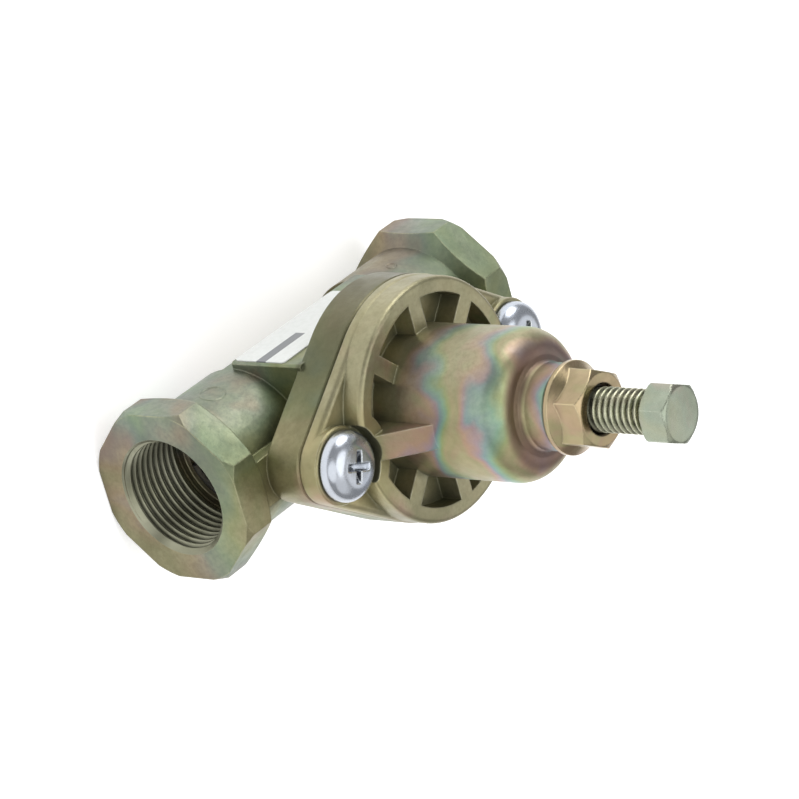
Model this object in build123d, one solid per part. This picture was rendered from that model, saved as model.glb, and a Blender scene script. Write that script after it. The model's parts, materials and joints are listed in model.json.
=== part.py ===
from build123d import *
import os
from math import cos, pi, radians, sin, sqrt

# Pressure-actuated flow control (overflow) valve for compressed air.
# Millimetres. +Z is the axis of the bonnet, X runs from port 1 (-X) to port 2 (+X),
# and the label faces +Y. The heights below are measured from the port axis; every
# node is moved up at the end so that the valve stands on the lower flats of its ends.

# Ports, ends and tube
LENGTH = 83.2
END_AF = 32.0
END_FACE_R = 16.5
END_FRONT_BEVEL = 1.4
END_FLAT = 6.0
END_TAPER = 2.6
TUBE_R = 13.8
PORT_R = 11.0
PORT_DEPTH = 14.7
PORT_MOUTH = 0.3
PASSAGE_R = 9.5

# Flange and bonnet outline
SEAM = 23.0
FLANGE_R = 22.3
FLANGE_T = 7.5
LUG_R = 7.0
LUG_X = 26.0
BLOCK_HALF_LENGTH = 18.6
BLOCK_OUT = 1.4
BLOCK_BACK = 12.0
PAD_RELIEF = 12.9
PAD_TILT = 30.4
PAD_BOTTOM = 0.4
LUG_RIB_HALF = 4.4
LUG_RIB_OUT = 1.9

# Chamber under the diaphragm and the seat in its middle
CHAMBER_R = 15.0
CHAMBER_DEPTH = 7.4
PILLAR_R = 10.2
SEAT_DEPTH = 4.4
SEAT_LIP = 1.2
WELL_R = 6.5
BUSH_R = 7.8
BUSH_BORE_R = 5.5
BUSH_LENGTH = 5.4
RING_WIRE_R = 0.54
RETURN_HOLE_R = 3.2
PARTITION_T = 5.0

# Bonnet
RIM_INSET = 0.2
RIM_H = 6.6
RIM_T = 2.9
POCKET_FLOOR_T = 2.2
LUG_H = 4.0
PLATE_T = 2.6
RIB_WIDTH = 3.4
RIB_COUNT = 8
GUSSET_WIDTH = 4.8
GUSSET_H = 15.5
BOSS_R = 9.7
SPOT_R = 7.2
DOME_R = 13.7
DOME_H = 29.7
DOME_SHOULDER = 4.7
DOME_WALL = 2.0
DOME_ROOF = 2.5
NECK_R = 7.7
NECK_H = 5.5
VENT_R = 1.0

# Diaphragm pack
DIAPHRAGM_LAND = 5.5
DIAPHRAGM_CLAMP = 2.0
DIAPHRAGM_T = 1.4
STEM_R = 2.5
PAD_R = 8.2
PAD_T = 1.6
CUP_R = 9.6
CUP_T = 1.2
CUP_LIP = 1.0
SPRING_PLATE_T = 1.6

# Springs and the seat above them
MAIN_WIRE_R = 1.25
MAIN_TURNS = 5.0
INNER_COIL_R = 5.1
INNER_WIRE_R = 0.75
INNER_TURNS = 7.0
SEAT_HEADROOM = 2.6
UPPER_SEAT_T = 2.0
UPPER_BOSS_R = 6.2
UPPER_BOSS_H = 1.1

# Adjusting screw M8 and its flange nut
SCREW_R = 4.0
SCREW_POINT_R = 3.0
SCREW_POINT_H = 3.0
SCREW_SOCKET = 2.6
SCREW_SHOWING = 11.15
SCREW_HEAD_H = 5.3
SCREW_HEAD_AF = 10.0
SCREW_HEAD_CORNER = 152.0
NUT_AF = 13.0
NUT_H = 7.0
NUT_FLANGE_R = 8.3
NUT_CORNER = 148.0

# Cover screws M6
COVER_SCREW_R = 3.0
COVER_HEAD_R = 6.3
COVER_HEAD_H = 3.8
COVER_GRIP = 9.6

# Return valve in the partition between the ports
RETURN_DISC_R = 5.2
RETURN_SEAL_R = 4.6
RETURN_SEAL_T = 1.2
RETURN_DISC_T = 2.2
RETURN_STEM_R = 1.5
RETURN_SPRING_H = 8.4
GUIDE_T = 2.0
GUIDE_HUB_R = 2.5
GUIDE_HUB_OUT = 2.0
GUIDE_RING_T = 1.9
RETURN_COIL_R = 3.6
RETURN_WIRE_R = 0.35
RETURN_TURNS = 6.0
CLIP_T = 1.2
CLIP_BITE = 0.7
CLIP_WIDTH = 2.0

# Label
LABEL_START = -18.1
LABEL_LENGTH = 28.9
LABEL_HEIGHT = 11.6
LABEL_T = 0.2
LABEL_GAP = 3.1

# Clearances
RUNNING_FIT = 0.04
THREAD_FIT = 0.03
LOOSE_FIT = 0.3
COIL_FIT = 0.15
PLATE_FIT = 0.8

# Heights and stations that follow from the sizes above
FLANGE_BOTTOM = SEAM - FLANGE_T
BLOCK_Y = TUBE_R + BLOCK_OUT
LUG_RIB_TOP = TUBE_R + LUG_RIB_OUT
CHAMBER_FLOOR = SEAM - CHAMBER_DEPTH
SEAT_TOP = SEAM - SEAT_DEPTH
PILLAR_TOP = SEAT_TOP - SEAT_LIP
BUSH_BOTTOM = PILLAR_TOP - BUSH_LENGTH
WELL_END = -WELL_R - 0.5
PARTITION_X = WELL_END - PARTITION_T
RIM_R = FLANGE_R - RIM_INSET
POCKET_R = RIM_R - RIM_T
RIM_TOP = SEAM + RIM_H
POCKET_FLOOR = SEAM + POCKET_FLOOR_T
LUG_TOP = SEAM + LUG_H
PLATE_TOP = SEAM + PLATE_T
GUSSET_TOP = SEAM + GUSSET_H
DOME_TOP = SEAM + DOME_H
NECK_TOP = DOME_TOP + NECK_H
NUT_TOP = NECK_TOP + NUT_H
SPRING_ROOM_R = DOME_R - DOME_WALL
SPRING_ROOM_TOP = DOME_TOP - DOME_ROOF
DIAPHRAGM_R = CHAMBER_R + DIAPHRAGM_LAND
PAD_TOP = SEAT_TOP + PAD_T
CUP_TOP = PAD_TOP + CUP_T
DIAPHRAGM_TOP = CUP_TOP + DIAPHRAGM_T
PLATE_UPPER = DIAPHRAGM_TOP + SPRING_PLATE_T
SPRING_PLATE_R = SPRING_ROOM_R - PLATE_FIT
UPPER_SEAT_R = SPRING_ROOM_R - PLATE_FIT - 0.1
MAIN_COIL_R = UPPER_SEAT_R - MAIN_WIRE_R - 0.45
UPPER_BOSS_TOP = SPRING_ROOM_TOP - SEAT_HEADROOM
UPPER_SEAT_UNDER = UPPER_BOSS_TOP - UPPER_BOSS_H - UPPER_SEAT_T
SCREW_TIP = UPPER_BOSS_TOP - SCREW_SOCKET
SCREW_POINT_TOP = SCREW_TIP + SCREW_POINT_H
SCREW_HEAD_UNDER = NUT_TOP + SCREW_SHOWING
SCREW_HEAD_TOP = SCREW_HEAD_UNDER + SCREW_HEAD_H
COVER_SCREW_END = SEAM - COVER_GRIP
SEAL_BACK = PARTITION_X - RETURN_SEAL_T
DISC_BACK = PARTITION_X - RETURN_DISC_T
GUIDE_FACE = DISC_BACK - RETURN_SPRING_H
CLIP_FACE = GUIDE_FACE - GUIDE_T
RETURN_STEM_END = CLIP_FACE + 0.6
CLIP_GROOVE_R = PASSAGE_R + CLIP_BITE
LABEL_Z = FLANGE_BOTTOM - LABEL_GAP - LABEL_HEIGHT / 2
STAND = END_AF / 2


def rod(radius, bottom, top, x=0.0, y=0.0):
    """Upright cylinder between two heights."""
    return Pos(x, y, (bottom + top) / 2) * Cylinder(radius, top - bottom)


def bar(radius, start, end):
    """Cylinder along the port axis between two x positions."""
    turn = Rot(0, 90, 0)
    return Pos((start + end) / 2, 0, 0) * turn * Cylinder(radius, abs(end - start))


def block(x0, x1, y0, y1, z0, z1):
    """Box between the given planes."""
    middle = Pos((x0 + x1) / 2, (y0 + y1) / 2, (z0 + z1) / 2)
    return middle * Box(x1 - x0, y1 - y0, z1 - z0)


def turned(points, axis=Axis.Z):
    """Solid of revolution from (radius, height) points, turned about Z."""
    face = make_face(Polyline(*[(r, 0, z) for r, z in points], close=True))
    return revolve(face, axis)


def along_x(solid):
    """Lays a solid turned about Z along the port axis, its height becoming x."""
    return Rot(0, 90, 0) * solid


def hexagon(across_flats, bottom, top, corner):
    """Upright hexagonal prism with one corner at the given angle."""
    outline = RegularPolygon(across_flats / 2, 6, major_radius=False, rotation=corner)
    return Pos(0, 0, bottom) * extrude(outline, top - bottom)


def stadium(bottom, top, radius, lug):
    """Round flange with two lugs on the X axis, joined by tangent flanks."""
    outline = make_hull(
        Circle(radius).edges()
        + (Pos(LUG_X, 0) * Circle(lug)).edges()
        + (Pos(-LUG_X, 0) * Circle(lug)).edges()
    )
    return Pos(0, 0, bottom) * extrude(outline, top - bottom)


def coil(coil_radius, wire_radius, bottom, top, turns):
    """Compression spring with closed, ground ends between two heights."""
    start = bottom + wire_radius * 0.55
    end = top - wire_radius * 0.55
    closed = wire_radius * 1.3
    steps = int(turns * 16)
    points = []
    for step in range(steps + 1):
        turn = turns * step / steps
        share = min(max((turn - 0.8) / (turns - 1.6), 0.0), 1.0)
        ease = closed * min(turn, 0.8) / 0.8 + closed * max(turn - turns + 0.8, 0.0) / 0.8
        height = start + ease + (end - start - 2 * closed) * share
        angle = 2 * pi * turn
        points.append((coil_radius * cos(angle), coil_radius * sin(angle), height))
    path = Spline(*points)
    wire = sweep(Plane(path @ 0, z_dir=path % 0) * Circle(wire_radius), path)
    reach = coil_radius + 2 * wire_radius
    return wire & rod(reach, bottom, top)


# ---------------------------------------------------------------- housing
def end_profile(side):
    """Round envelope that bevels one octagonal end at its face and behind it."""
    corner_r = END_AF / 2 / cos(radians(22.5)) + 0.1
    face = LENGTH / 2
    solid = turned(
        [
            (0, face - END_FLAT - END_TAPER - 6),
            (TUBE_R - 0.5, face - END_FLAT - END_TAPER - 6),
            (TUBE_R - 0.5, face - END_FLAT - END_TAPER),
            (corner_r, face - END_FLAT),
            (corner_r, face - END_FRONT_BEVEL),
            (END_FACE_R, face),
            (0, face),
        ]
    )
    return Rot(0, 90 * side, 0) * solid


def octagon_end(side):
    """Octagonal wrench end of the housing on one side."""
    outline = RegularPolygon(END_AF / 2, 8, major_radius=False, rotation=22.5)
    prism = Rot(0, 90, 0) * extrude(outline, LENGTH / 2)
    if side < 0:
        prism = mirror(prism, Plane.YZ)
    return prism & end_profile(side)


def port_bore(side):
    """Tapped port with its mouth chamfer and relieved bottom."""
    face = LENGTH / 2
    solid = turned(
        [
            (0, face - PORT_DEPTH),
            (PORT_R, face - PORT_DEPTH),
            (PORT_R, face - PORT_MOUTH),
            (PORT_R + PORT_MOUTH, face),
            (PORT_R + PORT_MOUTH, face + 1),
            (0, face + 1),
        ]
    )
    return Rot(0, 90 * side, 0) * solid


def make_housing():
    body = bar(TUBE_R, -LENGTH / 2 + END_FLAT, LENGTH / 2 - END_FLAT)
    body += octagon_end(1) + octagon_end(-1)
    reach = BLOCK_HALF_LENGTH
    centre = block(-reach, reach, -BLOCK_BACK, BLOCK_Y, PAD_BOTTOM, FLANGE_BOTTOM + 1)
    centre = chamfer(centre.edges().filter_by(Axis.Z), 0.4)
    body += centre
    body -= Rot(-PAD_TILT, 0, 0) * block(-reach, reach, PAD_RELIEF, BLOCK_Y + 5, -20, 20)
    rib_end = LENGTH / 2 - END_FLAT - 0.6
    body += block(-rib_end, rib_end, -LUG_RIB_HALF, LUG_RIB_HALF, 10, LUG_RIB_TOP)
    flange = stadium(FLANGE_BOTTOM, SEAM, FLANGE_R, LUG_R)
    flange = fillet(flange.edges().group_by(Axis.Z)[0], 0.4)
    flange = chamfer(flange.edges().group_by(Axis.Z)[-1], 0.35)
    body += flange
    body -= port_bore(1) + port_bore(-1)
    port_end = LENGTH / 2 - PORT_DEPTH
    body -= bar(PASSAGE_R, -port_end - 0.5, PARTITION_X)
    body -= bar(PASSAGE_R, WELL_END, port_end + 0.5)
    body -= bar(RETURN_HOLE_R, PARTITION_X - 1, WELL_END + 1)
    body -= bar(CLIP_GROOVE_R, CLIP_FACE - CLIP_T - 0.1, CLIP_FACE)
    body -= rod(CHAMBER_R, CHAMBER_FLOOR, SEAM + 1) - rod(PILLAR_R, CHAMBER_FLOOR, PILLAR_TOP)
    body -= rod(DIAPHRAGM_R + 0.1, SEAM - DIAPHRAGM_CLAMP, SEAM + 1)
    riser = block(-CHAMBER_R, PARTITION_X + 0.8, -6, 6, 7.0, CHAMBER_FLOOR + 1)
    body -= riser & rod(CHAMBER_R, 0, SEAM)
    body -= rod(BUSH_R + RUNNING_FIT, BUSH_BOTTOM, PILLAR_TOP + 1)
    body -= rod(WELL_R, 0, BUSH_BOTTOM + 1)
    for side in (-1, 1):
        hole = rod(COVER_SCREW_R + THREAD_FIT, COVER_SCREW_END - 0.8, SEAM + 1, side * LUG_X)
        body -= hole
    return body


# ---------------------------------------------------------------- bonnet
def gusset(side):
    """Sloping web from the rim up the side of the dome, over one lug."""
    inner = SPRING_ROOM_R + 0.6
    points = [
        (inner, POCKET_FLOOR - 0.5),
        (POCKET_R + 1, POCKET_FLOOR - 0.5),
        (POCKET_R + 1, RIM_TOP),
        (POCKET_R, RIM_TOP),
        (DOME_R - 0.2, GUSSET_TOP),
        (inner, GUSSET_TOP),
    ]
    outline = make_face(Polyline(*[(x, 0, z) for x, z in points], close=True))
    web = extrude(outline, GUSSET_WIDTH / 2, both=True)
    return web if side > 0 else mirror(web, Plane.YZ)


def make_bonnet():
    plate = stadium(SEAM, PLATE_TOP, FLANGE_R, LUG_R)
    plate = chamfer(plate.edges().group_by(Axis.Z)[0], 0.35)
    plate = fillet(plate.edges().group_by(Axis.Z)[-1], 1.2)
    lugs = rod(LUG_R, SEAM + 1, LUG_TOP, LUG_X) + rod(LUG_R, SEAM + 1, LUG_TOP, -LUG_X)
    lugs = chamfer(lugs.edges().group_by(Axis.Z)[-1], 0.3)
    rim = rod(RIM_R, SEAM + 1, RIM_TOP)
    rim = fillet(rim.edges().group_by(Axis.Z)[-1], 0.9)
    body = plate + lugs + rim
    pockets = rod(POCKET_R, POCKET_FLOOR, RIM_TOP + 1)
    for side in (-1, 1):
        pockets -= rod(BOSS_R, POCKET_FLOOR - 1, RIM_TOP + 2, side * LUG_X)
    body -= pockets
    for index in range(RIB_COUNT):
        web = block(DOME_R - 1, POCKET_R + 0.6, -RIB_WIDTH / 2, RIB_WIDTH / 2, POCKET_FLOOR - 0.5, RIM_TOP)
        body += Rot(0, 0, index * 360 / RIB_COUNT) * web
    dome = rod(DOME_R, SEAM + 1, DOME_TOP)
    dome = fillet(dome.edges().group_by(Axis.Z)[-1], DOME_SHOULDER)
    body += dome + gusset(1) + gusset(-1)
    neck = turned(
        [
            (0, DOME_TOP - 2),
            (NECK_R + 1.3, DOME_TOP - 2),
            (NECK_R + 1.3, DOME_TOP),
            (NECK_R + 0.4, DOME_TOP + 0.35),
            (NECK_R, DOME_TOP + 1.3),
            (NECK_R, NECK_TOP - 0.5),
            (NECK_R - 0.5, NECK_TOP),
            (0, NECK_TOP),
        ]
    )
    body += neck
    room = turned(
        [
            (0, SEAM - 1),
            (SPRING_ROOM_R + 1.5, SEAM - 1),
            (SPRING_ROOM_R + 1.5, SEAM),
            (SPRING_ROOM_R, SEAM + 1.5),
            (SPRING_ROOM_R, SPRING_ROOM_TOP - 2.6),
            (SPRING_ROOM_R - 2.6, SPRING_ROOM_TOP),
            (0, SPRING_ROOM_TOP),
        ]
    )
    body -= room
    body -= rod(SCREW_R + RUNNING_FIT, SPRING_ROOM_TOP - 1, NECK_TOP + 1)
    for side in (-1, 1):
        body -= rod(COVER_SCREW_R + LOOSE_FIT, SEAM - 1, LUG_TOP + 1, side * LUG_X)
        body -= rod(SPOT_R, LUG_TOP, RIM_TOP + 4, side * LUG_X)
    vent = Pos(0, -DOME_R, SPRING_ROOM_TOP - 4.2) * Rot(90, 0, 0) * Cylinder(VENT_R, 8)
    body -= vent
    return body


# ---------------------------------------------------------------- seat
def make_seat_bush():
    groove_r = BUSH_R - 2 * RING_WIRE_R
    groove_low = BUSH_BOTTOM + 1.4
    groove_high = groove_low + 1.6
    return turned(
        [
            (BUSH_BORE_R, BUSH_BOTTOM),
            (BUSH_R - 0.4, BUSH_BOTTOM),
            (BUSH_R, BUSH_BOTTOM + 0.4),
            (BUSH_R, groove_low),
            (groove_r, groove_low),
            (groove_r, groove_high),
            (BUSH_R, groove_high),
            (BUSH_R, PILLAR_TOP),
            (PILLAR_R - 0.6, PILLAR_TOP),
            (PILLAR_R - 0.6, PILLAR_TOP + 0.5),
            (BUSH_R, PILLAR_TOP + 0.7),
            (BUSH_BORE_R + 1.3, SEAT_TOP - 0.15),
            (BUSH_BORE_R + 1.0, SEAT_TOP),
            (BUSH_BORE_R + 0.6, SEAT_TOP),
            (BUSH_BORE_R, SEAT_TOP - 0.6),
        ]
    )


def make_seat_o_ring():
    centre_r = BUSH_R - RING_WIRE_R
    return Pos(0, 0, BUSH_BOTTOM + 2.2) * Torus(centre_r, RING_WIRE_R)


# ---------------------------------------------------------------- diaphragm pack
def make_valve_pad():
    pad = rod(PAD_R, SEAT_TOP, PAD_TOP) - rod(STEM_R + 0.8, SEAT_TOP - 1, PAD_TOP + 1)
    return fillet(pad.edges().group_by(Axis.Z)[0].sort_by(SortBy.LENGTH)[-1], 0.2)


def make_valve_cup():
    return turned(
        [
            (STEM_R + RUNNING_FIT, PAD_TOP),
            (PAD_R + 0.02, PAD_TOP),
            (PAD_R + 0.02, PAD_TOP - CUP_LIP),
            (CUP_R - 0.3, PAD_TOP - CUP_LIP),
            (CUP_R, PAD_TOP - CUP_LIP + 0.3),
            (CUP_R, CUP_TOP - 0.4),
            (CUP_R - 0.4, CUP_TOP),
            (STEM_R + RUNNING_FIT, CUP_TOP),
        ]
    )


def make_diaphragm():
    low = SEAM - DIAPHRAGM_CLAMP
    roll_in = SPRING_PLATE_R + 0.3
    return turned(
        [
            (STEM_R + RUNNING_FIT, CUP_TOP),
            (roll_in, CUP_TOP),
            (roll_in + 0.9, CUP_TOP - 0.5),
            (roll_in + 2.1, CUP_TOP - 0.6),
            (CHAMBER_R - 0.4, low + 0.1),
            (CHAMBER_R, low),
            (DIAPHRAGM_R, low),
            (DIAPHRAGM_R, SEAM),
            (SPRING_ROOM_R + 3.0, SEAM),
            (roll_in + 2.1, SEAM - 0.7),
            (roll_in + 0.9, DIAPHRAGM_TOP - 0.5),
            (roll_in, DIAPHRAGM_TOP),
            (STEM_R + RUNNING_FIT, DIAPHRAGM_TOP),
        ]
    )


def make_spring_plate():
    return turned(
        [
            (STEM_R + RUNNING_FIT, DIAPHRAGM_TOP),
            (SPRING_PLATE_R - 0.4, DIAPHRAGM_TOP),
            (SPRING_PLATE_R, DIAPHRAGM_TOP + 0.4),
            (SPRING_PLATE_R, PLATE_UPPER),
            (MAIN_COIL_R - MAIN_WIRE_R - 0.15, PLATE_UPPER),
            (MAIN_COIL_R - MAIN_WIRE_R - 0.5, PLATE_UPPER + 1.6),
            (INNER_COIL_R + INNER_WIRE_R + 0.2, PLATE_UPPER + 1.6),
            (INNER_COIL_R + INNER_WIRE_R + 0.15, PLATE_UPPER),
            (STEM_R + RUNNING_FIT, PLATE_UPPER),
        ]
    )


def make_stem():
    """Rivet that holds pad cup, diaphragm and spring plate together."""
    return turned(
        [
            (0, SEAT_TOP + 0.3),
            (STEM_R + 0.5, SEAT_TOP + 0.3),
            (STEM_R + 0.7, SEAT_TOP + 0.5),
            (STEM_R + 0.7, PAD_TOP),
            (STEM_R, PAD_TOP),
            (STEM_R, PLATE_UPPER),
            (STEM_R + 1.2, PLATE_UPPER),
            (STEM_R + 1.2, PLATE_UPPER + 0.5),
            (STEM_R + 0.4, PLATE_UPPER + 1.2),
            (0, PLATE_UPPER + 1.4),
        ]
    )


def make_upper_spring_seat():
    return turned(
        [
            (0, UPPER_SEAT_UNDER - 2.5),
            (INNER_COIL_R - INNER_WIRE_R - 0.6, UPPER_SEAT_UNDER - 2.5),
            (INNER_COIL_R - INNER_WIRE_R - 0.15, UPPER_SEAT_UNDER),
            (UPPER_SEAT_R, UPPER_SEAT_UNDER),
            (UPPER_SEAT_R, UPPER_SEAT_UNDER + UPPER_SEAT_T - 0.5),
            (UPPER_SEAT_R - 0.5, UPPER_SEAT_UNDER + UPPER_SEAT_T),
            (UPPER_BOSS_R, UPPER_SEAT_UNDER + UPPER_SEAT_T),
            (UPPER_BOSS_R - 0.4, UPPER_BOSS_TOP),
            (SCREW_POINT_R + LOOSE_FIT, UPPER_BOSS_TOP),
            (SCREW_POINT_R + LOOSE_FIT, SCREW_TIP),
            (0, SCREW_TIP),
        ]
    )


# ---------------------------------------------------------------- screws and nut
def make_adjusting_screw():
    shank = turned(
        [
            (0, SCREW_TIP),
            (SCREW_POINT_R - 0.5, SCREW_TIP),
            (SCREW_POINT_R, SCREW_TIP + 0.5),
            (SCREW_POINT_R, SCREW_POINT_TOP),
            (SCREW_R, SCREW_POINT_TOP + 0.9),
            (SCREW_R, SCREW_HEAD_UNDER + 0.2),
            (0, SCREW_HEAD_UNDER + 0.2),
        ]
    )
    head = hexagon(SCREW_HEAD_AF, SCREW_HEAD_UNDER, SCREW_HEAD_TOP, SCREW_HEAD_CORNER)
    corner_r = SCREW_HEAD_AF / sqrt(3)
    crown = turned(
        [
            (0, SCREW_HEAD_UNDER),
            (corner_r, SCREW_HEAD_UNDER),
            (corner_r + 0.05, SCREW_HEAD_TOP - 0.7),
            (corner_r - 1.0, SCREW_HEAD_TOP),
            (0, SCREW_HEAD_TOP),
        ]
    )
    return shank + (head & crown)


def make_lock_nut():
    top = NUT_TOP
    corner_r = NUT_AF / sqrt(3)
    prism = hexagon(NUT_AF, NECK_TOP + 0.6, top, NUT_CORNER)
    crown = turned(
        [
            (0, NECK_TOP),
            (corner_r + 0.1, NECK_TOP),
            (corner_r + 0.1, top - 0.8),
            (corner_r - 1.2, top),
            (0, top),
        ]
    )
    skirt = turned(
        [
            (0, NECK_TOP),
            (NUT_FLANGE_R - 0.3, NECK_TOP),
            (NUT_FLANGE_R, NECK_TOP + 0.3),
            (NUT_FLANGE_R, NECK_TOP + 1.1),
            (NUT_FLANGE_R - 0.35, NECK_TOP + 1.4),
            (NUT_AF / 2 - 0.3, NECK_TOP + 2.9),
            (0, NECK_TOP + 2.9),
        ]
    )
    bore = turned(
        [
            (0, NECK_TOP - 1),
            (SCREW_R + 0.7, NECK_TOP - 1),
            (SCREW_R + 0.7, NECK_TOP),
            (SCREW_R + RUNNING_FIT, NECK_TOP + 0.7),
            (SCREW_R + RUNNING_FIT, top - 0.7),
            (SCREW_R + 0.7, top),
            (SCREW_R + 0.7, top + 1),
            (0, top + 1),
        ]
    )
    return (prism & crown) + skirt - bore


def make_cover_screw(side):
    """Pan-head cover screw with a cross recess."""
    shank = rod(COVER_SCREW_R, COVER_SCREW_END, LUG_TOP + 0.2)
    shank = chamfer(shank.edges().group_by(Axis.Z)[0], 0.5)
    top = LUG_TOP + COVER_HEAD_H
    head = turned(
        [
            (0, LUG_TOP),
            (COVER_HEAD_R - 0.25, LUG_TOP),
            (COVER_HEAD_R, LUG_TOP + 0.25),
            (COVER_HEAD_R, LUG_TOP + 1.1),
            (COVER_HEAD_R - 0.25, LUG_TOP + 1.9),
            (COVER_HEAD_R - 0.8, LUG_TOP + 2.6),
            (COVER_HEAD_R - 1.8, LUG_TOP + 3.2),
            (COVER_HEAD_R - 3.3, top - 0.18),
            (0, top),
        ]
    )
    wing = block(-3.1, 3.1, -0.55, 0.55, top - 2.4, top + 1)
    cone = turned([(0, top - 2.4), (1.3, top - 2.4), (3.3, top + 0.5), (0, top + 0.5)])
    cross = (wing + Rot(0, 0, 90) * wing) & cone
    screw = shank + head - cross
    return Pos(side * LUG_X, 0, 0) * screw


# ---------------------------------------------------------------- return valve
def make_return_valve_seal():
    return bar(RETURN_SEAL_R, SEAL_BACK, PARTITION_X)


def make_return_valve_disc():
    solid = turned(
        [
            (0, SEAL_BACK),
            (RETURN_SEAL_R + 0.02, SEAL_BACK),
            (RETURN_SEAL_R + 0.02, PARTITION_X - 0.5),
            (RETURN_DISC_R, PARTITION_X - 0.5),
            (RETURN_DISC_R, DISC_BACK + 0.3),
            (RETURN_DISC_R - 0.3, DISC_BACK),
            (RETURN_COIL_R - RETURN_WIRE_R - 0.15, DISC_BACK),
            (RETURN_COIL_R - RETURN_WIRE_R - 0.4, DISC_BACK - 1.2),
            (RETURN_STEM_R, DISC_BACK - 1.2),
            (RETURN_STEM_R, RETURN_STEM_END + 0.3),
            (RETURN_STEM_R - 0.3, RETURN_STEM_END),
            (0, RETURN_STEM_END),
        ]
    )
    return along_x(solid)


def make_return_valve_guide():
    outer_r = PASSAGE_R - RUNNING_FIT
    ring = bar(outer_r, CLIP_FACE, GUIDE_FACE) - bar(PASSAGE_R - GUIDE_RING_T, CLIP_FACE - 1, GUIDE_FACE + 1)
    guide = ring + bar(GUIDE_HUB_R, CLIP_FACE, GUIDE_FACE + GUIDE_HUB_OUT)
    arm = block(CLIP_FACE, GUIDE_FACE, -1.1, 1.1, 0, PASSAGE_R - GUIDE_RING_T + 0.4)
    for index in range(3):
        guide += Rot(index * 120, 0, 0) * arm
    return guide - bar(RETURN_STEM_R + RUNNING_FIT, CLIP_FACE - 1, GUIDE_FACE + GUIDE_HUB_OUT + 1)


def make_retaining_ring():
    outer_r = CLIP_GROOVE_R - RUNNING_FIT
    back = CLIP_FACE - CLIP_T
    ring = bar(outer_r, back, CLIP_FACE) - bar(outer_r - CLIP_WIDTH, back - 1, CLIP_FACE + 1)
    ring -= block(back - 1, CLIP_FACE + 1, -2.4, 2.4, -outer_r - 1, 0)
    for side in (-1, 1):
        ear = bar(1.5, back, CLIP_FACE) - bar(0.6, back - 1, CLIP_FACE + 1)
        ring += Pos(0, side * 3.6, 2.6 - outer_r) * ear
    return ring


def make_label():
    label = block(
        LABEL_START,
        LABEL_START + LABEL_LENGTH,
        BLOCK_Y,
        BLOCK_Y + LABEL_T,
        LABEL_Z - LABEL_HEIGHT / 2,
        LABEL_Z + LABEL_HEIGHT / 2,
    )
    return fillet(label.edges().filter_by(Axis.Y), 0.8)


NODES = {
    "housing": make_housing(),
    "bonnet": make_bonnet(),
    "seat_bush": make_seat_bush(),
    "seat_o_ring": make_seat_o_ring(),
    "valve_pad": make_valve_pad(),
    "valve_cup": make_valve_cup(),
    "diaphragm": make_diaphragm(),
    "spring_plate": make_spring_plate(),
    "stem_rivet": make_stem(),
    "main_spring": coil(MAIN_COIL_R, MAIN_WIRE_R, PLATE_UPPER, UPPER_SEAT_UNDER, MAIN_TURNS),
    "inner_spring": coil(INNER_COIL_R, INNER_WIRE_R, PLATE_UPPER, UPPER_SEAT_UNDER, INNER_TURNS),
    "upper_spring_seat": make_upper_spring_seat(),
    "adjusting_screw": make_adjusting_screw(),
    "lock_nut": make_lock_nut(),
    "cover_screw_port_1": make_cover_screw(-1),
    "cover_screw_port_2": make_cover_screw(1),
    "return_valve_disc": make_return_valve_disc(),
    "return_valve_seal": make_return_valve_seal(),
    "return_valve_spring": along_x(
        coil(RETURN_COIL_R, RETURN_WIRE_R, GUIDE_FACE, DISC_BACK, RETURN_TURNS)
    ),
    "return_valve_guide": make_return_valve_guide(),
    "retaining_ring": make_retaining_ring(),
    "label": make_label(),
}

os.makedirs("parts", exist_ok=True)
for name, shape in NODES.items():
    export_step(Pos(0, 0, STAND) * shape, f"parts/{name}.step")
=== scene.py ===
import json
import math

import bpy
from mathutils import Matrix, Vector


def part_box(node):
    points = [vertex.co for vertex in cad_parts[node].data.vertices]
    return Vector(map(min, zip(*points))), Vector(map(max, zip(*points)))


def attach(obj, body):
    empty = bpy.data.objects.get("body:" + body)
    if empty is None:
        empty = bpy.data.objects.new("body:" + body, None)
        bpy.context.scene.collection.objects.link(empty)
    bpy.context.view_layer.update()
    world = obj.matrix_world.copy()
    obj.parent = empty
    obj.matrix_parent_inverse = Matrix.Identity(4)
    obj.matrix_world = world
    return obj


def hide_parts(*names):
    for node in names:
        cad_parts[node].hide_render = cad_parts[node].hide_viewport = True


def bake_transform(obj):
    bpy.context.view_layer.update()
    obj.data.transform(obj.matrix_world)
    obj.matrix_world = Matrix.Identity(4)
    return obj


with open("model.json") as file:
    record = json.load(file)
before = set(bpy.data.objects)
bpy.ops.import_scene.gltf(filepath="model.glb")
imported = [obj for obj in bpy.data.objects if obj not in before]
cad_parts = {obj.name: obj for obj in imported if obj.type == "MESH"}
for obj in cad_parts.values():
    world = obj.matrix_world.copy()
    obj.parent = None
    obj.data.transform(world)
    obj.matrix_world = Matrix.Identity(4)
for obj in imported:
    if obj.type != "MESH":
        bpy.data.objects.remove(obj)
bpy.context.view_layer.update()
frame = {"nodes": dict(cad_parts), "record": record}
nodes = frame["nodes"]

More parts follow.
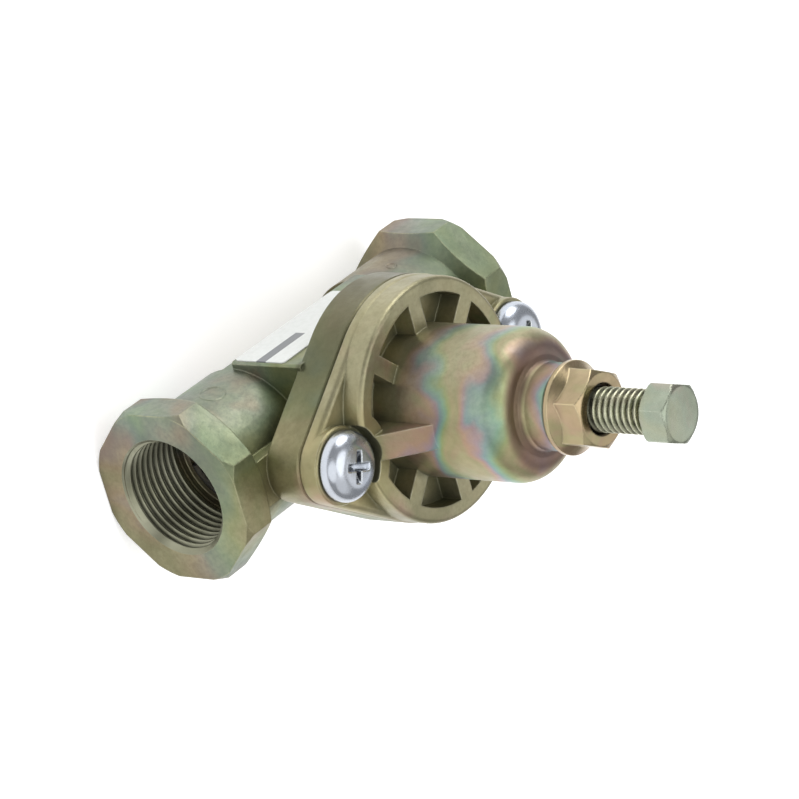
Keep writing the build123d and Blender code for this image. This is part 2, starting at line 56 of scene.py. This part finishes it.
MM = 0.001
PORT_AXIS_Z = 16.0
LENGTH = 83.2
PORT_R = 11.0
PORT_PITCH = 1.5
PORT_CREST_R = 10.2
PORT_MOUTH_R = 11.3
PORT_DEPTH = 14.7
COVER_SCREW_X = 26.0
COVER_HEAD_R = 6.3
SCREW_R = 4.0
SCREW_ROOT_R = 3.32
SCREW_PITCH = 1.25
SCREW_HEAD_H = 5.3
SCREW_HEAD_AF = 10.0
SCREW_HEAD_CORNER = 152.0
SCREW_POINT_R = 3.0
COVER_HEAD_H = 3.8
COVER_SHANK_R = 3.0
CROSS_HALF_WIDTH = 0.66
CROSS_REACH = 2.75
CROSS_DEPTH = 2.0
TUBE_R = 13.8
CHAMBER_R = 15.0
MAIN_WIRE_R = 1.25
CASTING_METALLIC = 0.8
LINER_LIFT = 0.012


# ------------------------------------------------------------------ node helpers
class Graph:
    """Short hand for building a material's node tree."""

    def __init__(self, name):
        self.material = bpy.data.materials.new(name)
        self.material.use_nodes = True
        self.tree = self.material.node_tree
        self.shader = self.tree.nodes["Principled BSDF"]
        self.coords = self.add("ShaderNodeTexCoord").outputs["Object"]

    def add(self, kind, **settings):
        node = self.tree.nodes.new(kind)
        for key, value in settings.items():
            setattr(node, key, value)
        return node

    def feed(self, socket, value):
        if isinstance(value, bpy.types.NodeSocket):
            self.tree.links.new(value, socket)
        else:
            socket.default_value = value

    def noise(self, scale, detail=4.0, roughness=0.55, distortion=0.0, vector=None):
        node = self.add("ShaderNodeTexNoise")
        self.feed(node.inputs["Vector"], vector or self.coords)
        node.inputs["Scale"].default_value = scale
        node.inputs["Detail"].default_value = detail
        node.inputs["Roughness"].default_value = roughness
        node.inputs["Distortion"].default_value = distortion
        return node.outputs["Fac"]

    def axis(self, which):
        node = self.add("ShaderNodeSeparateXYZ")
        self.feed(node.inputs[0], self.coords)
        return node.outputs[which]

    def math(self, operation, a, b=0.0, clamp=False):
        node = self.add("ShaderNodeMath", operation=operation, use_clamp=clamp)
        self.feed(node.inputs[0], a)
        self.feed(node.inputs[1], b)
        return node.outputs[0]

    def span(self, value, low, high, out_low=0.0, out_high=1.0, smooth=True):
        node = self.add("ShaderNodeMapRange", interpolation_type="SMOOTHSTEP" if smooth else "LINEAR")
        self.feed(node.inputs["Value"], value)
        node.inputs["From Min"].default_value = low
        node.inputs["From Max"].default_value = high
        node.inputs["To Min"].default_value = out_low
        node.inputs["To Max"].default_value = out_high
        return node.outputs["Result"]

    def ramp(self, value, stops):
        node = self.add("ShaderNodeValToRGB")
        self.feed(node.inputs["Fac"], value)
        ramp = node.color_ramp
        while len(ramp.elements) < len(stops):
            ramp.elements.new(1.0)
        for element, (position, colour) in zip(ramp.elements, stops):
            element.position = position
            element.color = (*colour, 1.0)
        return node.outputs["Color"]

    def mix(self, factor, a, b, blend="MIX"):
        node = self.add("ShaderNodeMix", data_type="RGBA", blend_type=blend)
        self.feed(node.inputs["Factor"], factor)
        for socket, value in zip((s for s in node.inputs if s.type == "RGBA"), (a, b)):
            self.feed(socket, value if isinstance(value, bpy.types.NodeSocket) else (*value, 1.0))
        return next(s for s in node.outputs if s.type == "RGBA")

    def shade_in_hollows(self, colour, distance, darkest, low=0.25, high=0.85):
        node = self.add("ShaderNodeAmbientOcclusion", samples=8)
        node.inputs["Distance"].default_value = distance
        depth = self.span(node.outputs["AO"], low, high, darkest, 1.0)
        shade = self.add("ShaderNodeCombineColor")
        for socket in list(shade.inputs)[:3]:
            self.feed(socket, depth)
        return self.mix(1.0, colour, shade.outputs[0], "MULTIPLY")

    def painted_shade(self, colour, distance, tone, most):
        """Painted shade: colour that turns to a dull tone in creases and pockets, by ambient occlusion."""
        node = self.add("ShaderNodeAmbientOcclusion", samples=8)
        node.inputs["Distance"].default_value = distance
        return self.mix(self.span(node.outputs["AO"], 0.25, 0.85, most, 0.0), colour, tone)

    def openness(self, distance):
        """One on outer edges and open faces, nothing in inner corners."""
        node = self.add("ShaderNodeAmbientOcclusion", samples=6)
        node.inputs["Distance"].default_value = distance
        return self.span(node.outputs["AO"], 0.86, 0.99)

    def rounded(self, radius):
        """Normal as if every edge were rounded, and how close a point is to an edge."""
        node = self.add("ShaderNodeBevel", samples=6)
        node.inputs["Radius"].default_value = radius
        shape = self.add("ShaderNodeNewGeometry")
        dot = self.add("ShaderNodeVectorMath", operation="DOT_PRODUCT")
        self.feed(dot.inputs[0], node.outputs["Normal"])
        self.feed(dot.inputs[1], shape.outputs["Normal"])
        near = self.span(dot.outputs["Value"], 0.995, 0.86)
        return node.outputs["Normal"], near

    def bump(self, height, strength, distance, under=None):
        node = self.add("ShaderNodeBump")
        self.feed(node.inputs["Height"], height)
        node.inputs["Strength"].default_value = strength
        node.inputs["Distance"].default_value = distance
        if under is not None:
            self.feed(node.inputs["Normal"], under)
        return node.outputs["Normal"]

    def finish(self, colour, roughness, metallic, normal=None):
        self.feed(self.shader.inputs["Base Color"], colour)
        self.feed(self.shader.inputs["Roughness"], roughness)
        self.shader.inputs["Metallic"].default_value = metallic
        if normal is not None:
            self.feed(self.shader.inputs["Normal"], normal)
        return self.material


FILM = [
    (0.00, (0.36, 0.32, 0.15)),
    (0.15, (0.46, 0.28, 0.19)),
    (0.27, (0.36, 0.24, 0.29)),
    (0.38, (0.20, 0.32, 0.35)),
    (0.51, (0.22, 0.42, 0.30)),
    (0.67, (0.33, 0.40, 0.16)),
    (0.84, (0.43, 0.36, 0.18)),
    (1.00, (0.36, 0.32, 0.15)),
]


def chromate_casting(name, base_low, base_high, film_share, phase, painted_shade, shaded_crease=None, wall=None):
    """Die casting under a chromate film whose interference colours drift with its thickness.

    painted_shade is the dull tone of the painted shade in creases and pockets and how far it takes the colour,
    shaded_crease the height of a ring of painted shade in the crease at the dome's neck,
    wall the height above which painted shade darkens the label side, more towards +Y.
    """
    g = Graph(name)
    film = g.math("FRACT", phase(g))
    film_colour = g.ramp(film, FILM)
    patches = g.noise(70.0, 4.0, 0.6)
    ground = g.mix(g.span(patches, 0.38, 0.62), base_low, base_high)
    grain = g.noise(1100.0, 4.0, 0.7)
    ground = g.mix(g.span(grain, 0.35, 0.70, 0.0, 0.42), ground, tuple(c * 0.55 for c in base_low))
    mask = g.span(g.noise(30.0, 3.0, 0.5, 0.3), 0.32, 0.68, film_share * 0.45, film_share)
    colour = g.mix(mask, ground, film_colour)
    normal, edge = g.rounded(0.00045)
    edge = g.math("MULTIPLY", edge, g.openness(0.0012))
    # Lighter edges: partly rubbed wear, partly a painted edge highlight.
    worn_and_highlit_edge = g.math("MULTIPLY", edge, g.span(g.noise(400.0, 4.0, 0.6), 0.35, 0.65, 0.15, 0.7))
    colour = g.mix(worn_and_highlit_edge, colour, tuple(min(c * 1.9 + 0.03, 1.0) for c in base_high))
    # Painted shade: above the wall height the label side is darkened, more towards +Y.
    if wall is not None:
        above = g.span(g.axis("Z"), wall, wall + 0.001)
        painted_side_shade = g.math("MULTIPLY", above, g.span(g.axis("Y"), 0.004, 0.017, 0.0, 0.6))
        colour = g.mix(painted_side_shade, colour, (0.055, 0.054, 0.034))
    # Painted shade: a dark ring round the crease where the dome meets its neck.
    if shaded_crease is not None:
        near = g.math("ABSOLUTE", g.math("SUBTRACT", g.axis("Z"), shaded_crease))
        colour = g.mix(g.span(near, 0.0010, 0.0003, 0.0, 0.75), colour, (0.15, 0.09, 0.07))
    # Painted shade: creases and pockets turn to a dull dark tone.
    colour = g.painted_shade(colour, 0.004, *painted_shade)
    rough = g.span(g.noise(260.0, 4.0, 0.6), 0.25, 0.75, 0.32, 0.46)
    skin = g.bump(g.noise(380.0, 3.0, 0.55), 0.14, 0.0005, normal)
    fine = g.bump(g.noise(2600.0, 5.0, 0.65), 0.16, 0.00016, skin)
    return g.finish(colour, rough, CASTING_METALLIC, fine)


def body_phase(g):
    """Broad drifting patches over the body."""
    drift = g.math("MULTIPLY", g.noise(30.0, 3.0, 0.55, 0.4), 2.2)
    return g.math("ADD", drift, g.math("MULTIPLY", g.axis("Z"), 22.0))


# Heights between which the bonnet's film runs through a number of colour cycles
BONNET_CYCLES = [
    (0.0450, 0.0470, 0.20),
    (0.0470, 0.0600, 0.72),
    (0.0600, 0.0687, 1.26),
    (0.0687, 0.0742, 0.55),
]


def bonnet_phase(g):
    """Even on the flange, one slow cycle up the dome's side, drawn into rings round its shoulder and neck."""
    z = g.axis("Z")
    patches = g.math("SUBTRACT", g.noise(55.0, 1.6, 0.45, 0.6), 0.5)
    drift = g.math("MULTIPLY", patches, g.span(z, 0.0450, 0.0510, 0.9, 2.3))
    swirl = g.math("MULTIPLY", g.math("SUBTRACT", g.noise(170.0, 2.0, 0.5, 0.5), 0.5), 0.4)
    phase = g.math("ADD", g.math("ADD", drift, swirl), 0.95)
    for low, high, cycles in BONNET_CYCLES:
        phase = g.math("ADD", phase, g.span(z, low, high, 0.0, cycles, False))
    return phase


def plated(name, low, high, tint, share, roughness, metallic=0.95, scale=160.0, hollow=0.3):
    """Zinc-plated steel with a passivation tint that varies over the piece."""
    g = Graph(name)
    ground = g.mix(g.span(g.noise(scale, 4.0, 0.6), 0.3, 0.7), low, high)
    film = g.ramp(g.math("FRACT", g.math("MULTIPLY", g.noise(scale * 0.6, 3.0, 0.5, 0.6), 2.6)), tint)
    colour = g.mix(g.span(g.noise(scale * 0.4, 2.0, 0.5), 0.3, 0.7, share * 0.4, share), ground, film)
    normal, edge = g.rounded(0.0004)
    # Lighter edges: partly rubbed plating, partly a painted edge highlight.
    colour = g.mix(g.math("MULTIPLY", edge, 0.7), colour, tuple(min(c * 1.7 + 0.05, 0.95) for c in high))
    colour = g.shade_in_hollows(colour, 0.0014, hollow, 0.45, 0.9)
    rough = g.span(g.noise(scale * 5, 4.0, 0.6), 0.25, 0.75, roughness * 0.8, roughness * 1.25)
    marks = g.bump(g.noise(scale * 16, 3.0, 0.6), 0.08, 0.0001, normal)
    return g.finish(colour, rough, metallic, marks)


def rubber(name, tone):
    """Matt rubber with a little dust."""
    g = Graph(name)
    dust = g.span(g.noise(700.0, 5.0, 0.65), 0.45, 0.75, 0.0, 0.5)
    colour = g.mix(dust, tone, tuple(c * 2.2 + 0.01 for c in tone))
    rough = g.span(g.noise(1500.0, 3.0, 0.5), 0.3, 0.7, 0.62, 0.8)
    return g.finish(colour, rough, 0.0, g.bump(g.noise(4000.0, 3.0, 0.6), 0.15, 0.0001))


def turned_metal(name, tone, along, roughness=0.28):
    """Lathe-turned metal with fine rings across its axis."""
    g = Graph(name)
    rings = g.add("ShaderNodeTexWave", wave_type="BANDS", bands_direction=along, wave_profile="SIN")
    g.feed(rings.inputs["Vector"], g.coords)
    rings.inputs["Scale"].default_value = 900.0
    rings.inputs["Distortion"].default_value = 0.6
    stain = g.mix(g.span(g.noise(180.0, 4.0, 0.6), 0.35, 0.75), tone, tuple(c * 0.78 for c in tone))
    rough = g.span(g.noise(500.0, 3.0, 0.5), 0.3, 0.7, roughness * 0.85, roughness * 1.3)
    return g.finish(stain, rough, 1.0, g.bump(rings.outputs["Fac"], 0.12, 0.00008))


def wire(name):
    """Drawn spring wire."""
    g = Graph(name)
    tone = g.mix(g.span(g.noise(300.0, 4.0, 0.6), 0.3, 0.7), (0.17, 0.17, 0.18), (0.30, 0.30, 0.31))
    rough = g.span(g.noise(900.0, 3.0, 0.5), 0.3, 0.7, 0.30, 0.45)
    return g.finish(tone, rough, 0.9, g.bump(g.noise(2500.0, 2.0, 0.5), 0.1, 0.0001))


def label_film():
    """White self-adhesive film with one plain grey stripe and no print."""
    g = Graph("label_film")
    x = g.axis("X")
    z = g.axis("Z")
    fibres = g.span(g.noise(900.0, 4.0, 0.6), 0.35, 0.75, 0.0, 0.5)
    paper = g.mix(fibres, (0.74, 0.76, 0.74), (0.64, 0.66, 0.63))
    low = g.math("GREATER_THAN", z, 0.0220)
    high = g.math("LESS_THAN", z, 0.0242)
    start = g.math("LESS_THAN", x, -0.0065)
    stripe = g.math("MULTIPLY", g.math("MULTIPLY", low, high), start)
    colour = g.mix(stripe, paper, (0.19, 0.20, 0.21))
    return g.finish(colour, 0.42, 0.0, g.bump(g.noise(2500.0, 3.0, 0.5), 0.05, 0.0001))


# The tuple after each phase is the tone and strength of the painted shade in creases and pockets.
CAST_BODY = chromate_casting(
    "cast_body", (0.140, 0.135, 0.073), (0.238, 0.230, 0.140), 0.38, body_phase,
    ((0.055, 0.057, 0.032), 0.6), wall=0.0310)
CAST_BONNET = chromate_casting(
    "cast_bonnet", (0.185, 0.185, 0.130), (0.310, 0.305, 0.220), 0.76, bonnet_phase,
    ((0.150, 0.160, 0.110), 0.75), shaded_crease=0.0689)
GOLD_TINT = [
    (0.0, (0.36, 0.25, 0.15)),
    (0.3, (0.33, 0.20, 0.15)),
    (0.55, (0.29, 0.27, 0.14)),
    (0.8, (0.39, 0.29, 0.18)),
    (1.0, (0.36, 0.25, 0.15)),
]
GREEN_TINT = [
    (0.0, (0.30, 0.32, 0.21)),
    (0.35, (0.26, 0.33, 0.27)),
    (0.6, (0.38, 0.31, 0.28)),
    (1.0, (0.30, 0.32, 0.21)),
]
BLUE_TINT = [(0.0, (0.42, 0.47, 0.56)), (0.5, (0.52, 0.54, 0.57)), (1.0, (0.42, 0.47, 0.56))]
FINISHES = {
    "cast_body": CAST_BODY,
    "cast_bonnet": CAST_BONNET,
    "brass": turned_metal("brass", (0.60, 0.44, 0.18), "Z"),
    "seal_rubber": rubber("seal_rubber", (0.018, 0.018, 0.019)),
    "diaphragm_rubber": rubber("diaphragm_rubber", (0.024, 0.024, 0.028)),
    "turned_aluminium": turned_metal("turned_aluminium", (0.62, 0.63, 0.64), "X"),
    "pressed_steel": plated("pressed_steel", (0.42, 0.42, 0.40), (0.55, 0.55, 0.52), GREEN_TINT, 0.3, 0.35),
    "spring_steel": wire("spring_steel"),
    "yellow_zinc": plated("yellow_zinc", (0.24, 0.26, 0.195), (0.34, 0.365, 0.285), GREEN_TINT, 0.5, 0.27),
    "gold_zinc": plated("gold_zinc", (0.27, 0.235, 0.13), (0.41, 0.34, 0.205), GOLD_TINT, 0.55, 0.22),
    "bright_zinc": plated(
        "bright_zinc", (0.42, 0.45, 0.50), (0.50, 0.53, 0.58), BLUE_TINT, 0.5, 0.24, scale=90.0),
    "label_film": label_film(),
}

slot_of = {entry["node"]: entry["material_slot"] for entry in frame["record"]["subparts"]}
for name, node in nodes.items():
    node.data.materials.clear()
    node.data.materials.append(FINISHES[slot_of[name]])


# ------------------------------------------------------------------ mesh helpers
def grid_piece(name, rows, material, body, closed_u=True):
    """Piece from rows of points, each row a ring, joined into one skin."""
    count = len(rows[0])
    points = [point for row in rows for point in row]
    faces = []
    for r in range(len(rows) - 1):
        for c in range(count if closed_u else count - 1):
            d = (c + 1) % count
            faces.append((r * count + c, r * count + d, (r + 1) * count + d, (r + 1) * count + c))
    mesh = bpy.data.meshes.new(name)
    mesh.from_pydata(points, [], faces)
    mesh.validate()
    for polygon in mesh.polygons:
        polygon.use_smooth = True
    piece = bpy.data.objects.new(name, mesh)
    bpy.context.scene.collection.objects.link(piece)
    mesh.materials.append(material)
    if body:
        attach(piece, body)
    return piece


def thread_wave(phase, flat_crest=0.16, flat_root=0.22):
    """Height 0 at the root to 1 at the crest of a 60 degree thread at a phase of 0 to 1."""
    phase = phase % 1.0
    distance = min(phase, 1.0 - phase) * 2.0
    if distance < flat_crest:
        return 1.0
    if distance > 1.0 - flat_root:
        return 0.0
    return (1.0 - flat_root - distance) / (1.0 - flat_root - flat_crest)


def port_thread(side):
    """Female thread of one port: a helical liner from its mouth chamfer to the run-out."""
    around = 144
    last = PORT_DEPTH - 0.3
    wall = PORT_R - LINER_LIFT
    count = int(last / (PORT_PITCH / 16))
    rows = []
    for k in range(count + 1):
        depth = last * k / count
        x = side * (LENGTH / 2 - depth)
        runout = min(max((last - depth) / 1.5, 0.0), 1.0)
        ring = []
        for a in range(around):
            turn = a / around
            high = thread_wave(depth / PORT_PITCH + side * turn, 0.2, 0.14)
            r = wall - (wall - PORT_CREST_R) * high * runout
            r = max(r, PORT_MOUTH_R - LINER_LIFT - depth)
            angle = 2 * math.pi * turn
            ring.append((x * MM, r * math.cos(angle) * MM, (PORT_AXIS_Z + r * math.sin(angle)) * MM))
        rows.append(ring if side < 0 else ring[::-1])
    label = 1 if side < 0 else 2
    return grid_piece(f"port_{label}_thread", rows, THREAD_METAL, "valve_body")


def screw_piece():
    """Adjusting screw with its helical M8 thread and small chamfered hexagon head."""
    low, high = (v / MM for v in (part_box("adjusting_screw")[0][2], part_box("adjusting_screw")[1][2]))
    head_under = high - SCREW_HEAD_H
    point_top = low + 3.0
    around = 72
    rows = []

    def ring(z, radius_at):
        rows.append([
            (radius_at(a / around) * math.cos(2 * math.pi * a / around) * MM,
             radius_at(a / around) * math.sin(2 * math.pi * a / around) * MM, z * MM)
            for a in range(around)
        ])

    ring(low, lambda t: 0.01)
    ring(low, lambda t: 2.5)
    ring(low + 0.5, lambda t: SCREW_POINT_R)
    ring(point_top, lambda t: SCREW_POINT_R)
    step = SCREW_PITCH / 14
    count = int((head_under - point_top - 0.3) / step)
    for k in range(count + 1):
        z = point_top + 0.3 + step * k
        start = min(max((z - point_top) / 1.2, 0.0), 1.0)

        def radius(t, z=z, start=start):
            crest = SCREW_ROOT_R + (SCREW_R - 0.02 - SCREW_ROOT_R) * start
            return SCREW_ROOT_R + (crest - SCREW_ROOT_R) * thread_wave(z / SCREW_PITCH - t, 0.12, 0.18)

        ring(z, radius)
    half = SCREW_HEAD_AF / 2
    corner = math.radians(SCREW_HEAD_CORNER)

    def hexagon(t, limit):
        angle = (2 * math.pi * t - corner) % (math.pi / 3) - math.pi / 6
        return min(half / math.cos(angle), limit)

    corner_r = half / math.cos(math.pi / 6)
    ring(head_under, lambda t: SCREW_ROOT_R)
    ring(head_under, lambda t: hexagon(t, corner_r - 0.55))
    chamfers = ((0.12, 0.30), (0.35, 0.04), (0.7, 0.0), (4.4, 0.0), (4.75, 0.16), (5.0, 0.5), (5.2, 0.85),
                (SCREW_HEAD_H, 1.1))
    for z, cut in chamfers:
        ring(head_under + z, lambda t, cut=cut: hexagon(t, corner_r - cut))
    ring(high, lambda t: 3.9)
    ring(high - 0.03, lambda t: 2.0)
    ring(high - 0.03, lambda t: 0.01)
    piece = grid_piece("adjusting_screw_threaded", rows, FINISHES["yellow_zinc"], "screw")
    piece.data.materials.append(SCREW_THREAD)
    for polygon in piece.data.polygons:
        if polygon.center.z < (head_under - 0.05) * MM:
            polygon.material_index = 1
    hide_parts("adjusting_screw")
    sharp = piece.modifiers.new("edges", "EDGE_SPLIT")
    sharp.split_angle = math.radians(24)
    return piece


def cover_screw(port, turn):
    """Pan-head cover screw: a smooth head with a tapering cross recess, and its shank."""
    x = COVER_SCREW_X if port == 2 else -COVER_SCREW_X
    low, high = (corner[2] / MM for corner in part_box(f"cover_screw_port_{port}"))
    seat = high - COVER_HEAD_H
    around = 160
    outer = [(0.01, low), (2.5, low), (COVER_SHANK_R, low + 0.5), (COVER_SHANK_R, seat), (5.9, seat),
             (6.15, seat + 0.08), (COVER_HEAD_R, seat + 0.3), (COVER_HEAD_R, seat + 1.0)]
    for k in range(1, 19):
        lean = math.pi / 2 * k / 18
        r = 2.6 + (COVER_HEAD_R - 2.6) * math.cos(lean)
        outer.append((r, seat + 1.0 + (high - seat - 1.0) * math.sin(lean)))
    for k in range(1, 30):
        outer.append((2.6 * (1 - k / 29) + 0.01, high))
    rows = []
    for r, z in outer:
        ring = []
        for a in range(around):
            angle = 2 * math.pi * a / around
            u, v = r * math.cos(angle), r * math.sin(angle)
            sunk = 0.0
            if z > seat + 2 and r < 3.2:
                off_arm = min(abs(u), abs(v))
                side_wall = min(max((CROSS_HALF_WIDTH - off_arm) / 0.10, 0.0), 1.0)
                sunk = side_wall * (CROSS_DEPTH - 0.62 * r) * min(max((CROSS_REACH - r) / 0.2, 0.0), 1.0)
            turned = angle + math.radians(turn)
            ring.append(((x + r * math.cos(turned)) * MM, r * math.sin(turned) * MM, (z - sunk) * MM))
        rows.append(ring)
    piece = grid_piece(f"cover_screw_{port}", rows, FINISHES["bright_zinc"], "valve_body")
    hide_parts(f"cover_screw_port_{port}")
    sharp = piece.modifiers.new("edges", "EDGE_SPLIT")
    sharp.split_angle = math.radians(30)


def spring(node, axis, coil_r, wire_r, turns, spans):
    """Round-wire compression spring, in one length for each given span of its turns."""
    low, high = (corner[axis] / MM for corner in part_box(node))
    start, end = low + wire_r, high - wire_r

    def height_at(share):
        lift = min(max((share * turns - 0.9) / (turns - 1.8), 0.0), 1.0)
        closed = 0.05 * min(share * 12, 1.0) + 0.05 * max(share * 12 - 11, 0.0)
        return start + (end - start) * (closed + 0.90 * lift)

    for label, (share_0, share_1, body_a, body_b) in enumerate(spans, 1):
        steps = int(turns * 30 * (share_1 - share_0))
        rows = []
        for k in range(steps + 1):
            share = share_0 + (share_1 - share_0) * k / steps
            angle = 2 * math.pi * turns * share
            ring = []
            for a in range(14):
                roll = 2 * math.pi * a / 14
                r = coil_r + wire_r * math.cos(roll)
                height = height_at(share) + wire_r * math.sin(roll)
                p, q = r * math.cos(angle), r * math.sin(angle)
                spot = (p, q, height) if axis == 2 else (height, p, PORT_AXIS_Z + q)
                ring.append(tuple(c * MM for c in spot))
            rows.append(ring)
        caps = [tuple(sum(p[i] for p in row) / len(row) for i in range(3)) for row in (rows[0], rows[-1])]
        rows = [[caps[0]] * 14, *rows, [caps[1]] * 14]
        piece = grid_piece(f"{node}_coil_{label}", rows, FINISHES["spring_steel"], None)
        ends = [[0.0, 0.0, PORT_AXIS_Z * MM], [0.0, 0.0, PORT_AXIS_Z * MM]]
        ends[0][axis] = (low + 2 * wire_r if share_0 == 0 else height_at(share_0)) * MM
        ends[1][axis] = (high - 2 * wire_r if share_1 == 1 else height_at(share_1)) * MM
        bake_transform(piece)
        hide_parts(node)


def diaphragm_sheet(count):
    """The rubber diaphragm in equal sectors, each reaching from the clamped rim to the middle."""
    (_, _, low), (rim_r, _, high) = (tuple(c / MM for c in corner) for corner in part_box("diaphragm"))
    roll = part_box("spring_plate")[1][0] / MM + 0.3
    top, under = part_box("spring_plate")[0][2] / MM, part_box("valve_cup")[1][2] / MM
    section = [(2.55, under), (5.0, under), (roll, under), (roll + 0.9, under - 0.5), (roll + 2.1, under - 0.6),
               (CHAMBER_R - 0.4, low + 0.1), (CHAMBER_R, low), (rim_r, low), (rim_r, high), (16.0, high),
               (roll + 2.1, high - 0.7), (roll + 0.9, top - 0.5), (roll, top), (5.0, top), (2.55, top)]
    half = math.pi / count
    for sector in range(count):
        middle = 2 * half * sector
        rows = []
        for k in range(7):
            angle = middle - half + 2 * half * k / 6
            rows.append([(r * math.cos(angle) * MM, r * math.sin(angle) * MM, z * MM) for r, z in section])
        name = f"diaphragm_sector_{sector + 1}"
        piece = grid_piece(name, rows, FINISHES["diaphragm_rubber"], None)
        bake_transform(piece)
        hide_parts("diaphragm")


def ejector_mark(name, x, lean, radius):
    """Shallow ring left on the tube by an ejector pin."""
    rows = []
    for a in range(64):
        angle = 2 * math.pi * a / 64
        ring = []
        for across, proud in ((-0.30, -0.06), (-0.14, 0.12), (0.08, 0.16), (0.30, -0.06)):
            r = radius + across
            bend = math.radians(lean) + r * math.sin(angle) / TUBE_R
            out = TUBE_R + proud
            ring.append(((x + r * math.cos(angle)) * MM, out * math.sin(bend) * MM,
                         (PORT_AXIS_Z + out * math.cos(bend)) * MM))
        rows.append(ring)
    rows.append(rows[0])
    grid_piece(name, rows, CAST_BODY, "valve_body", closed_u=False)


def thread_metal():
    """Cut thread, brighter than the casting, with painted shade in its roots."""
    g = Graph("port_thread")
    tone = g.mix(g.span(g.noise(120.0, 3.0, 0.5), 0.3, 0.7), (0.24, 0.24, 0.165), (0.34, 0.34, 0.25))
    tone = g.shade_in_hollows(tone, 0.0016, 0.12, 0.3, 0.8)
    rough = g.span(g.noise(700.0, 3.0, 0.5), 0.3, 0.7, 0.30, 0.44)
    return g.finish(tone, rough, 0.8, g.bump(g.noise(2600.0, 3.0, 0.6), 0.08, 0.0001))


THREAD_METAL = thread_metal()
SCREW_THREAD = plated(
    "screw_thread", (0.42, 0.42, 0.27), (0.58, 0.57, 0.40), GREEN_TINT, 0.3, 0.26, hollow=0.10)
port_thread(-1)
port_thread(1)
screw_piece()
cover_screw(1, 67.0)
cover_screw(2, 61.0)
main_r = (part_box("main_spring")[1][0] / MM) - MAIN_WIRE_R
BETWEEN = ((0.0, 0.42, "diaphragm_pack", "valve_body"), (0.42, 1.0, "valve_body", "spring_seat"))
spring("main_spring", 2, main_r, MAIN_WIRE_R, 5.0, BETWEEN)
spring("inner_spring", 2, 5.1, 0.75, 7.0, BETWEEN)
spring("return_valve_spring", 0, 3.6, 0.35, 6.0, ((0.0, 1.0, "valve_body", "return_valve"),))
diaphragm_sheet(16)
ejector_mark("ejector_mark_1", -27.5, 79.0, 2.3)
ejector_mark("ejector_mark_2", 25.9, 78.0, 0.9)


# ------------------------------------------------------------------ stage
def floor():
    """White paper that keeps the object's shadow and looks white to the camera and in reflections."""
    mesh = bpy.data.meshes.new("floor")
    size = 6.0
    corners = [(-size, -size, 0), (size, -size, 0), (size, size, 0), (-size, size, 0)]
    mesh.from_pydata(corners, [], [(0, 1, 2, 3)])
    stage = bpy.data.objects.new("floor", mesh)
    stage.location.z = -0.0002
    bpy.context.scene.collection.objects.link(stage)
    g = Graph("floor_paper")
    tone = g.mix(g.span(g.noise(4.0, 2.0, 0.5), 0.3, 0.7), (0.92, 0.92, 0.92), (0.94, 0.94, 0.94))
    path = g.add("ShaderNodeLightPath").outputs
    direct = g.math("MAXIMUM", path["Is Camera Ray"], path["Is Glossy Ray"])
    direct = g.math("MAXIMUM", direct, path["Is Transmission Ray"])
    g.feed(g.shader.inputs["Emission Color"], (1.0, 1.0, 1.0, 1.0))
    g.feed(g.shader.inputs["Emission Strength"], g.math("MULTIPLY", direct, 0.45))
    mesh.materials.append(g.finish(tone, 0.9, 0.0))


def lamp(name, direction, distance, size, power):
    """Round area lamp that points at the object from a direction."""
    data = bpy.data.lights.new(name, "AREA")
    data.shape = "DISK"
    data.size = size
    data.energy = power
    light = bpy.data.objects.new(name, data)
    bpy.context.scene.collection.objects.link(light)
    target = Vector((0, 0, 0.04))
    way = Vector(direction).normalized()
    light.location = target + way * distance
    light.rotation_mode = "QUATERNION"
    light.rotation_quaternion = way.to_track_quat("Z", "Y")


def camera():
    """Camera above and in front of port 1, rolled so that the bonnet points right."""
    data = bpy.data.cameras.new("camera")
    data.sensor_width = 36.0
    data.lens = 161.0
    data.clip_start = 0.01
    data.clip_end = 50.0
    cam = bpy.data.objects.new("camera", data)
    bpy.context.scene.collection.objects.link(cam)
    right = Vector((0.584, -0.251, 0.772)).normalized()
    back = Vector((-0.679, 0.372, 0.634)).normalized()
    right = (right - back * right.dot(back)).normalized()
    up = back.cross(right)
    turn = Matrix((right, up, back)).transposed()
    target = Vector((8.8, -5.3, 27.7)) * MM
    cam.rotation_mode = "QUATERNION"
    cam.rotation_quaternion = turn.to_quaternion()
    cam.location = target + back * 0.653
    bpy.context.scene.camera = cam


camera()
floor()
lamp("overhead", (0.42, 0.82, 0.32), 1.5, 1.1, 11.2)
lamp("front", (-0.80, 0.10, 0.58), 1.5, 1.7, 8.0)
lamp("top", (0.0, 0.1, 1.0), 1.5, 1.3, 7.0)
lamp("side", (-0.2, -0.6, 0.8), 1.5, 1.5, 3.5)
lamp("end", (0.66, -0.34, 0.66), 1.5, 1.1, 2.5)

world = bpy.data.worlds.new("studio")
bpy.context.scene.world = world
world.use_nodes = True
background = world.node_tree.nodes["Background"]
background.inputs["Color"].default_value = (1.0, 1.0, 1.0, 1.0)
background.inputs["Strength"].default_value = 0.39
bpy.context.scene.view_settings.view_transform = "Standard"
